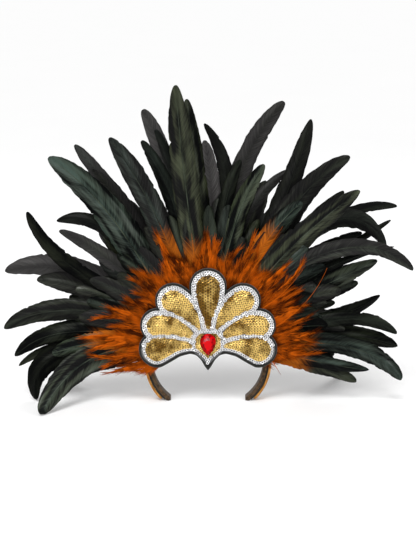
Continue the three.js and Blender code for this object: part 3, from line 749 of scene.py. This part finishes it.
# Felt board with a rolled, corded rim
def board():
    s, n = plaque, plaque["rays"]
    outer, r, thick = s["border"] + s["rim"], s["rimRound"], s["boardThick"]
    backRim, frontRim = outer - 2 * r - 1.2, outer - 2 * r - 0.6
    section = [(backRim, 0.0), (outer - 0.6, 0.0), (outer, -0.7)]
    for k in range(9):
        turn = math.radians(-10 + 200 * k / 8)
        section.append((outer - r + r * math.cos(turn), -thick + 0.2 - r * math.sin(turn) * 1.15))
    section.append((frontRim, -thick))
    rings = [loop(wholeOutline(g), y) for g, y in section]
    pile = Pile()
    pile.add(np.vstack(rings), gridFaces(len(rings), n, closed=True))
    centre = np.array([0, hubHeight + s["heart"]])
    for grow, depth, flip in ((backRim, 0.0, True), (frontRim, -thick, False)):
        outline = wholeOutline(grow)
        inner = centre + (outline - centre) * 0.5
        points = np.vstack([loop(outline, depth), loop(inner, depth), [[0, depth, centre[1]]]])
        faces = gridFaces(2, n, closed=True).tolist() + [[n + k, n + (k + 1) % n, 2 * n] for k in range(n)]
        pile.add(points, [face[::-1] for face in faces] if flip else faces)
    piece = pile.piece("plaque_felt", feltPaint, "black_felt", ["plaque_board"])
    weld = piece.modifiers.new("weld", "WELD")
    weld.merge_threshold = 0.02 * mm


feltPaint = boardFinish()
board()

# Cup sequins: a dished disc with a hole, tilted over its neighbour
sequin = {
    "goldRadius": 1.75, "goldPitch": 3.2, "goldRow": 2.85, "goldTilt": 5.0, "goldApart": 2.5,
    "goldFill": 2.15,
    "silverRadius": 1.7, "silverPitch": 2.9, "silverTilt": 8.0, "silverApart": 2.1, "silverMesh": 2.2,
    "fieldPitch": 2.9, "fieldApart": 2.55, "fieldFill": 2.0, "fieldShare": 0.92, "fieldTilt": 0.16,
    "hole": 0.66, "thick": 0.14, "dish": 0.26, "sides": 12, "sunk": 0.35, "seed": 3,
    # shade and dimShade set painted light on the gold sequins, dimPetal is the petal painted in shade, and
    # the darker gold colour below is gold in painted shade
    "edge": 3.55, "lowerEdge": 4.5, "shade": 0.62, "dimShade": 0.14, "dimPetal": "petal_gold_4",
    "goldInShade": (0.17, 0.085, 0.010), "gold": (1.0, 0.69, 0.21), "goldHole": (0.05, 0.025, 0.004),
    "steel": (0.62, 0.63, 0.65), "silver": (1.0, 1.0, 1.0), "silverHole": (0.05, 0.05, 0.055),
}
backing = {
    "umber": [(0.020, 0.011, 0.004), (0.07, 0.04, 0.012)],
    "ash": [(0.06, 0.06, 0.063), (0.16, 0.16, 0.165)],
}
stone = {
    "wide": 17.8, "tall": 25.2, "thick": 6.0, "sides": 16, "widest": 0.803, "round": 0.8, "seed": 8,
    # glintAt and glintSpread place a painted highlight on the upper facets
    "glintAt": (-1.0, 4.8), "glintSpread": 5.0,
    "garnet": (0.07, 0.0, 0.0), "ruby": (0.62, 0.0, 0.003), "glint": (0.90, 0.34, 0.38),
}
dividerLines = [archedLine(d, np.linspace(0, 1, 60)) for d in dividers]
collar = fieldOutline(plaque["divider"])  # the petals' sequins stop at it, round the shield


def pearOutline(share, count, turn=0.0):
    t = (np.arange(count) + turn) / count * 2 * math.pi
    x = np.sin(t) * np.sin(t / 2) ** stone["round"] * stone["wide"] / 2 / stone["widest"]
    return np.stack([x * share, hubHeight - np.cos(t) * stone["tall"] * share / 2], -1)


def sequinShape(radius):
    s, n = sequin, sequin["sides"]
    turn = np.arange(n) / n * 2 * math.pi
    rim = -s["dish"]
    section = [(s["hole"], 0.0), (radius * 0.62, -0.05), (radius, rim), (radius, rim + s["thick"]),
               (radius * 0.6, 0.12), (s["hole"], s["thick"])]
    rings = [np.stack([np.cos(turn) * r, np.full(n, y), np.sin(turn) * r], -1) for r, y in section]
    k = np.arange(n)
    last = np.stack([5 * n + k, 5 * n + (k + 1) % n, (k + 1) % n, k], -1)
    hole = np.repeat([1.0, 0.0, 0.0, 0.0, 0.0, 1.0], n)
    return np.vstack(rings), np.vstack([gridFaces(6, n, closed=True), last]), hole


# Turns that take a sequin's face from the front to its own normal
def turnsFor(normals, rng):
    turns = []
    for normal in normals:
        y = -normal / np.linalg.norm(normal)
        spin = rng.uniform(0, math.pi)
        guess = np.array([math.cos(spin), 0.0, math.sin(spin)])
        x = guess - y * guess.dot(y)
        x /= np.linalg.norm(x)
        turns.append(np.stack([x, y, np.cross(x, y)], 1))
    return np.array(turns)


def domeAt(petal, points):
    t = np.linspace(0, 1, 60)
    line = archedLine(petal, t)
    full = petal["full"] * plaqueReach
    half = plaque["petalNeck"] + (full - plaque["petalNeck"]) * np.sin(t * math.pi / 2)
    far = np.sqrt(((points[:, None, :] - line[None]) ** 2).sum(-1))
    k = far.argmin(1)
    u = np.clip(far[np.arange(len(points)), k] / half[k], 0, 1)
    return padFront - plaque["dome"] * np.minimum(1, half[k] / full) * (1 - u * u)


def thinned(candidates, apart, kept=None):
    kept = [] if kept is None else kept
    for p in candidates:
        if not kept or ((np.array(kept) - p) ** 2).sum(1).min() >= apart * apart:
            kept.append(p)
    return kept


# Spots on a petal that are clear of its edge, of the dividers and of the collar
def onPetal(spots, petal, inset, clear):
    good = inside(spots, petalOutline(petal, -inset)) & ~inside(spots, collar)
    for line in dividerLines:
        good &= nearest(spots, line) > plaque["divider"] / 2 + clear
    return spots[good]


def sew(name, cup, centres, normals, tones, rng, finish, slotName):
    shape, faces, hole = cup
    plumes = np.array([[tone, 0, 0, 0] for tone in tones])
    pile = Pile()
    pile.scatter(shape, faces, centres, turnsFor(normals, rng), plumes, hole)
    pile.piece("sequins_" + name, finish, slotName, soft=False)


def goldFinish():
    paint, s = Paint("gold sequins"), sequin
    tone, hole, _, _ = paint.plume()
    film = paint.noise(paint.place(), 140.0, 2.0)
    reflectionCloud = paint.noise(paint.place(), 62.0, 1.0)
    # Painted light: the tone from the dome's slope and painted reflection clouds run each sequin from gold
    # in shade to lit gold
    light = (tone + (reflectionCloud - 0.5) * 3.0 + (film - 0.5) * 0.5).clamped()
    colour = paint.mix(light, s["goldInShade"], s["gold"])
    colour = paint.mix(hole * 0.9, colour, s["goldHole"])
    return paint.finish({
        "Base Color": colour, "Metallic": 0.88, "Roughness": (0.20 + 0.16 * film).clamped(),
        "Normal": paint.bump(film, 0.0002, 0.3),
    })


def silverFinish():
    paint, s = Paint("silver sequins"), sequin
    tone, hole, _, _ = paint.plume()
    film = paint.noise(paint.place(), 160.0, 2.0)
    colour = paint.mix(hole, paint.mix(tone, s["steel"], s["silver"]), s["silverHole"])
    return paint.finish({
        "Base Color": colour, "Metallic": 0.75, "Roughness": (0.16 + 0.16 * film).clamped(),
        "Normal": paint.bump(film, 0.0002, 0.3),
    })


def backingFinish(name):
    paint = Paint(name + " backing")
    weave = paint.noise(paint.place(), 1200.0, 2.0, 0.7)
    return paint.finish({
        "Base Color": paint.mix(weave, *backing[name]), "Roughness": 0.8, "Specular IOR Level": 0.3,
        "Normal": paint.bump(weave, 0.0003, 0.5),
    })


# Rows along each petal, then what fits in the gaps that they leave
def goldPetals():
    s, rng = sequin, random.Random(sequin["seed"])
    cup = sequinShape(s["goldRadius"])
    for petal in petals:
        line = archedLine(petal, np.linspace(0, 1, 60))
        way = heading(line)
        axis = np.vstack([line[:1] - way[:1] * 7, line, line[-1:] + way[-1:] * petal["full"] * plaqueReach])
        out = leftOf(way)
        out = np.vstack([out[:1], out, out[-1:]])
        spots = [evenly(petalOutline(petal, -1.3), s["goldPitch"], closed=True)]
        for k in range(-5, 6):
            spots.append(evenly(axis + out * k * s["goldRow"], s["goldPitch"] / 2)[k % 2::2])
        kept = thinned(onPetal(np.vstack(spots), petal, 1.2, 0.9), s["goldApart"])
        fill = fillGrid(axis.min(0) - 14, axis.max(0) + 14, 0.7)
        points = np.array(thinned(onPetal(fill, petal, 1.0, 0.7), s["goldFill"], kept))
        step = 0.6
        height = domeAt(petal, points)
        slopeX = (domeAt(petal, points + [step, 0]) - height) / step
        slopeZ = (domeAt(petal, points + [0, step]) - height) / step
        tilt = s["goldTilt"]
        lean = np.array([[rng.gauss(0, tilt), rng.gauss(0, tilt)] for _ in points]) * degree
        normals = np.stack([slopeX + lean[:, 0], -np.ones(len(points)), slopeZ + lean[:, 1]], -1)
        centres = np.stack([points[:, 0], height - s["sunk"], points[:, 1]], -1)
        # Painted light: sequins are brighter where the dome faces down and to the right, and the dim petal
        # is painted in shade
        dim = petal["name"] == s["dimPetal"]
        lit = 0.55 * (slopeX * 0.5 - slopeZ * 0.8) * (0.3 if dim else 1.0)
        lit += s["dimShade"] if dim else s["shade"]
        tones = [min(1, max(0, rng.gauss(k, 0.16))) for k in lit]
        sew(petal["name"], cup, centres, normals, tones, rng, goldPaint, "gold_sequin")


# Rings round the stone on the shield under it
def gemField(rng):
    s, pear = sequin, pearOutline(1.0, 48)
    ring = np.vstack([evenly(fieldOutline(-g), s["fieldPitch"], True) for g in (1.5, 4.4, 7.3)])
    ring = ring[~inside(ring, pear) & (nearest(ring, pear) > 0.9)]
    fill = fillGrid((-14, -20), (14, 20), 0.6) + [0, hubHeight]
    fill = fill[~inside(fill, pear) & (nearest(fill, pear) > 0.8) & inside(fill, fieldOutline(-1.0))]
    kept = np.array(thinned(fill, s["fieldFill"], thinned(ring, s["fieldApart"])))
    normals = np.array([[rng.gauss(0, s["fieldTilt"]), -1, rng.gauss(0, s["fieldTilt"])] for _ in kept])
    tones = [rng.uniform(0.4, 0.9) for _ in kept]
    shape, faces, hole = sequinShape(s["goldRadius"])
    cup = (shape * s["fieldShare"], faces, hole)
    sew("gem_field", cup, loop(kept, padFront - s["sunk"]), normals, tones, rng, goldPaint, "gold_sequin")


# Everything on the board that is neither petal nor shield, up to its black edge
def silverBorder(rng):
    s = sequin
    rows = [evenly(wholeOutline(g), s["silverPitch"], True) for g in (3.3, 1.1)]
    for line in dividerLines:
        out = leftOf(heading(line))
        rows += [evenly(line + out * side * 1.15, s["silverPitch"]) for side in (-1, 1)]
    rows += [evenly(fieldOutline(g), s["silverPitch"], True) for g in (1.3, 3.6)]
    every = np.vstack(rows + [fillGrid((-92, -92), (92, 92), s["silverMesh"]) + [0, hubHeight]])
    edge = evenly(wholeOutline(plaque["border"] + plaque["rim"]), 0.9, True)
    lower = smooth((hubHeight + 2 - every[:, 1]) / 16)
    margin = s["edge"] + (s["lowerEdge"] - s["edge"]) * lower
    good = inside(every, edge) & (nearest(every, edge) > margin) & ~inside(every, fieldOutline(0.6))
    for petal in petals:
        gold = inside(every, petalOutline(petal, 1.0)) & ~inside(every, collar)
        for line in dividerLines:
            gold &= nearest(every, line) > plaque["divider"] / 2 - 0.5
        good &= ~gold
    kept = np.array(thinned(every[good], s["silverApart"]))
    tilt = s["silverTilt"] * degree
    normals = np.array([[rng.gauss(0, tilt), -1, rng.gauss(0, tilt)] for _ in kept])
    depth = np.array([padFront - 0.3 - 0.22 * (k % 3) for k in range(len(kept))])
    centres = np.stack([kept[:, 0], depth, kept[:, 1]], -1)
    tones = [rng.uniform(0.35, 1.0) for _ in kept]
    cup = sequinShape(s["silverRadius"])
    sew("silver_border", cup, centres, normals, tones, rng, silverPaint, "silver_sequin")
    print("silver sequins", len(kept))


def stoneFinish():
    paint, s = Paint("red stone"), stone
    tone, glint, _, _ = paint.plume()
    depth = paint.noise(paint.place(), 90.0, 1.0)
    # Painted reflection and highlight: each facet's tone runs it from dark to bright red, and a painted
    # glint whitens facets near one spot
    colour = paint.mix((tone * 1.15 + depth * 0.2 - 0.1).clamped(), s["garnet"], s["ruby"])
    colour = paint.mix(glint, colour, s["glint"])
    return paint.finish({"Base Color": colour, "Roughness": 0.08, "Specular IOR Level": 0.08})


# Each facet is its own face with its own random brightness, painted reflection as a foiled stone shows
def cutStone():
    s, rng = stone, random.Random(stone["seed"])
    back = padFront - plaque["gap"]
    n = s["sides"]
    cuts = [(0.90, 0.5, 0.0), (1.0, 0.5, 0.22), (0.88, 1.0, 0.52), (0.70, 0.5, 0.80), (0.48, 1.0, 1.0)]
    rings = [loop(pearOutline(share, n, turn), back - s["thick"] * deep) for share, turn, deep in cuts]
    glintX, glintZ = s["glintAt"]
    pile = Pile()

    def facet(*corners):
        middle = np.mean(corners, 0)
        far = (middle[0] - glintX) ** 2 + (middle[2] - hubHeight - glintZ) ** 2
        bright = math.exp(-far / s["glintSpread"])
        pile.add(np.array(corners), [list(range(len(corners)))], None, [rng.random(), bright, 0, 1])

    for i in range(n):
        j = (i + 1) % n
        facet(rings[0][i], rings[0][j], rings[1][j], rings[1][i])
        facet(rings[1][i], rings[1][j], rings[2][i])
        facet(rings[1][j], rings[2][j], rings[2][i])
        facet(rings[2][i], rings[3][j], rings[3][i])
        facet(rings[2][i], rings[2][j], rings[3][j])
        facet(rings[3][i], rings[3][j], rings[4][i])
        facet(rings[3][j], rings[4][j], rings[4][i])
    facet(*rings[4])
    facet(*rings[0][::-1])
    pile.piece("pear_stone", stoneFinish(), "red_stone", ["gem"], soft=False)


goldPaint, silverPaint = goldFinish(), silverFinish()
goldPetals()
fieldDraws = random.Random(sequin["seed"] + 1)
gemField(fieldDraws)
silverBorder(fieldDraws)
cutStone()
umber, ash = [backingFinish(name) for name in backing]
for nodeName in [p["name"] for p in petals] + ["gem_field", "silver_border"]:
    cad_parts[nodeName].data.materials.clear()
    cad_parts[nodeName].data.materials.append(ash if nodeName == "silver_border" else umber)

# Headband: shell, core and padded lining as rounded strips along one path
band = {
    "half": 71.0, "crown": 55.0, "leg": 44.0, "legRadius": 60.0, "front": 9.8, "depth": 15.0,
    "legSteps": 30, "crownSteps": 90, "shell": 2.8, "core": 1.0, "lining": 4.6, "gap": 0.3, "lift": 0.8,
    "shellRound": 0.7, "shellClose": 3.0, "coreRound": 0.35, "coreShort": 4.5,
    "liningRound": 1.6, "liningClose": 3.4, "liningLong": 1.5,
    "toeWide": 1.9, "toeLift": 0.6, "toeInset": 5.75,
    "copper": (0.24, 0.085, 0.013), "gold": (0.76, 0.38, 0.10),
    "peat": (0.006, 0.004, 0.002), "brown": (0.165, 0.092, 0.040),
}


def bandPath(inset, sweep):
    s, half = band, band["half"] - inset
    centre, r = s["half"] - s["legRadius"], s["legRadius"] - inset
    down = np.radians(np.linspace(sweep, 0, s["legSteps"], endpoint=False))
    leg = np.stack([centre + np.cos(down) * r, s["leg"] - np.sin(down) * r], -1)
    turn = np.radians(np.linspace(180, 0, s["crownSteps"]))
    crown = np.stack([np.cos(turn) * half, s["crown"] + np.sin(turn) * half], -1)
    return np.vstack([leg * [-1, 1], crown, leg[::-1]])


def sweepTo(height, inset):
    return math.degrees(math.asin((band["leg"] - height) / (band["legRadius"] - inset)))


def roundedStrip(thick, depth, radius, steps=5):
    far, deep = thick - radius, depth - radius
    section = []
    for cx, cy, first in ((far, deep, 0), (radius, deep, 90), (radius, radius, 180), (far, radius, 270)):
        for k in range(steps + 1):
            a = math.radians(first + 90 * k / steps)
            section.append((cx + math.cos(a) * radius, cy + math.sin(a) * radius))
    return np.array(section)


# close rounds the strip's ends over that length, widen pushes their outer side outwards
def addStrip(pile, inset, thick, sweep, radius, close=0.0, widen=0.0):
    section = roundedStrip(thick, band["depth"], radius)
    grid = [loop(bandPath(inset + across, sweep), band["front"] + deep) for across, deep in section]
    grid = np.stack(grid, 1)
    run = np.hypot(*np.diff(bandPath(inset + thick / 2, sweep), axis=0).T)
    run = np.concatenate([[0], np.cumsum(run)])
    fromEnd = np.minimum(run, run[-1] - run)
    if widen:
        share = (1 - smooth(fromEnd / 9.0))[:, None] * (section[:, 0] < thick / 2)[None, :]
        outwards = bandPath(inset - widen, sweep) - bandPath(inset, sweep)
        grid[..., 0] += share * outwards[:, 0][:, None]
        grid[..., 2] += share * outwards[:, 1][:, None]
    if close:
        middle = grid.mean(1, keepdims=True)
        squeeze = np.sqrt(np.clip(1 - (1 - fromEnd / close).clip(0, 1) ** 2, 0.03, 1))[:, None, None]
        reach = np.array([1.0, 0.35, 1.0])
        grid = middle + (grid - middle) * (1 - (1 - squeeze) * reach)
    grid[..., 2] = np.maximum(grid[..., 2], 0.0)
    rows, columns = grid.shape[:2]
    side = np.tile(section, (rows, 1))
    barb = np.stack([np.repeat(run, columns), side[:, 1], side[:, 0]], -1)
    pile.add(grid.reshape(-1, 3), tubeFaces(rows, columns), barb)


def shellFinish():
    paint, s = Paint("copper gold"), band
    brush = paint.noise(paint.stretched(paint.barb(), (0.05, 2.0, 2.0)), 1.0, 2.0)
    tarnishAndHighlight = paint.noise(paint.stretched(paint.barb(), (0.09, 0.2, 1.0)), 1.0, 3.0, 0.65)
    # Painted highlight and tarnish: noise runs the shell between dark copper and bright gold
    colour = paint.mix(((tarnishAndHighlight - 0.40) * 4.0).clamped(), s["copper"], s["gold"])
    return paint.finish({
        "Base Color": colour, "Metallic": 0.8, "Roughness": (0.16 + 0.35 * tarnishAndHighlight).clamped(),
        "Normal": paint.bump(brush, 0.0001, 0.4),
    })


def ribbonFinish():
    paint, s = Paint("brown grosgrain"), band
    along = paint.stretched(paint.barb(), (0.20, 0.10, 0.0))
    ribs = paint.node("TexWave", {"wave_type": "BANDS", "bands_direction": "X"},
                      {"Vector": along, "Scale": 1.0, "Distortion": 1.2, "Detail": 2.0})
    fleck = paint.noise(paint.place(), 420.0, 3.0, 0.7)
    colour = paint.mix((ribs * 0.4 + (fleck - 0.42) * 2.6).clamped(), s["peat"], s["brown"])
    return paint.finish({
        "Base Color": colour, "Roughness": 0.8, "Specular IOR Level": 0.25, "Sheen Weight": 0.15,
        "Normal": paint.bump(ribs + fleck * 0.5, 0.0006, 0.7),
    })


def headband():
    s = band
    shell, core, lining = Pile(), Pile(), Pile()
    coreInset = s["shell"] + s["gap"]
    liningInset = coreInset + s["core"] + s["gap"]
    toeSweep = sweepTo(s["toeLift"], s["toeInset"])
    addStrip(shell, 0.0, s["shell"], sweepTo(s["lift"], 0), s["shellRound"], close=s["shellClose"])
    addStrip(core, coreInset, s["core"], toeSweep - s["coreShort"], s["coreRound"])
    addStrip(lining, liningInset, s["lining"], toeSweep + s["liningLong"], s["liningRound"],
             close=s["liningClose"], widen=s["toeWide"])
    shell.piece("band_gold", shellFinish(), "gold_shell", ["band_shell"])
    core.piece("band_felt", feltPaint, "black_felt", ["band_core"])
    lining.piece("band_ribbon", ribbonFinish(), "brown_ribbon", ["band_lining"])


headband()

# Tapes that hold the quills and the felt half-moon that covers them at the back
tape = {
    "inner": 30.0, "outer": 46.0, "end": 12.0, "steps": 90, "thick": 1.6, "first": 0.3, "pitch": 1.9,
    "hackleOuter": 58.0, "feltOuter": 66.0, "bevel": 0.3, "feltBevel": 0.5,
}


def addHalfMoon(pile, outer, layer, bevel):
    inner, front = tape["inner"], tape["first"] + layer * tape["pitch"]
    back = front + tape["thick"]
    section = [
        (inner, front + bevel), (inner + bevel, front), (outer - bevel, front), (outer, front + bevel),
        (outer, back - bevel), (outer - bevel, back), (inner + bevel, back), (inner, back - bevel),
    ]
    angles = np.linspace(180 + tape["end"], -tape["end"], tape["steps"])
    grid = np.array([[(*fromHub(a, r), y) for r, y in section] for a in angles])[..., [0, 2, 1]]
    pile.add(grid.reshape(-1, 3), tubeFaces(len(angles), len(section)))


def tapes():
    s, pile, moon = tape, Pile(), Pile()
    layers = len(rowLayout)
    for layer in range(layers):
        addHalfMoon(pile, s["outer"] if layer else s["hackleOuter"], layer, s["bevel"])
    addHalfMoon(moon, s["feltOuter"], layers, s["feltBevel"])
    pile.piece("quill_tapes", feltPaint, "black_felt")
    moon.piece("felt_half_moon", feltPaint, "black_felt")


tapes()

# Studio: white floor, large soft lights and a camera a little above the object
studio = {
    "target": 144.2, "distance": 1600.0, "elevation": 12.0, "lens": 125.87, "sensor": 36.0,
    "floor": 30.0, "white": [(0.88, 0.88, 0.88), (0.90, 0.90, 0.90)], "world": 0.51,
    "glow": 0.12, "sun": 1.68, "sunSoft": 30.0, "sunTurn": (30, -10, 0),
    "key": (-1.05, -1.25, 0.95), "keySize": 0.5, "keyPower": 6.5,
    "side": (1.25, -1.05, 0.7), "sideSize": 0.4, "sidePower": 3.0,
    "rim": (0.35, 0.9, 1.3), "rimSize": 0.9, "rimPower": 3.0,
}


def softLight(name, place, size, power, target):
    data = bpy.data.lights.new(name, "AREA")
    data.size, data.energy = size, power
    light = bpy.data.objects.new(name, data)
    light.location = place
    light.rotation_euler = (target - light.location).to_track_quat("-Z", "Y").to_euler()
    bpy.context.scene.collection.objects.link(light)


def stage():
    s, scene = studio, bpy.context.scene
    target = Vector((middleX, boardBack, s["target"] * mm))
    for name in ("key", "side", "rim"):
        softLight(name + " light", s[name], s[name + "Size"], s[name + "Power"], target)
    data = bpy.data.lights.new("overhead", "SUN")
    data.energy, data.angle = s["sun"], math.radians(s["sunSoft"])
    overhead = bpy.data.objects.new("overhead", data)
    overhead.rotation_euler = [math.radians(turn) for turn in s["sunTurn"]]
    scene.collection.objects.link(overhead)
    half = s["floor"]
    mesh = bpy.data.meshes.new("floor")
    corners = [(-half, -half, 0), (half, -half, 0), (half, half, 0), (-half, half, 0)]
    mesh.from_pydata(corners, [], [(0, 1, 2, 3)])
    floor = bpy.data.objects.new("floor", mesh)
    paint = Paint("white floor")
    mottle = paint.noise(paint.place(), 3.0, 2.0)
    mesh.materials.append(paint.finish({
        "Base Color": paint.mix(mottle, *s["white"]), "Roughness": 1.0,
        "Specular IOR Level": 0.0, "Emission Color": (1.0, 1.0, 1.0), "Emission Strength": s["glow"],
    }))
    scene.collection.objects.link(floor)
    world = bpy.data.worlds.new("studio white")
    world.use_nodes = True
    sky = world.node_tree.nodes["Background"]
    sky.inputs["Color"].default_value = (1, 1, 1, 1)
    sky.inputs["Strength"].default_value = s["world"]
    scene.world = world
    scene.view_settings.view_transform = "Standard"
    lens = bpy.data.cameras.new("camera")
    lens.lens, lens.sensor_width, lens.sensor_fit = s["lens"], s["sensor"], "HORIZONTAL"
    camera = bpy.data.objects.new("camera", lens)
    a = math.radians(s["elevation"])
    back = Vector((0, -math.cos(a), math.sin(a)))
    camera.location = target + back * s["distance"] * mm
    camera.rotation_euler = (-back).to_track_quat("-Z", "Y").to_euler()
    scene.collection.objects.link(camera)
    scene.camera = camera
    print("studio is set")


stage()
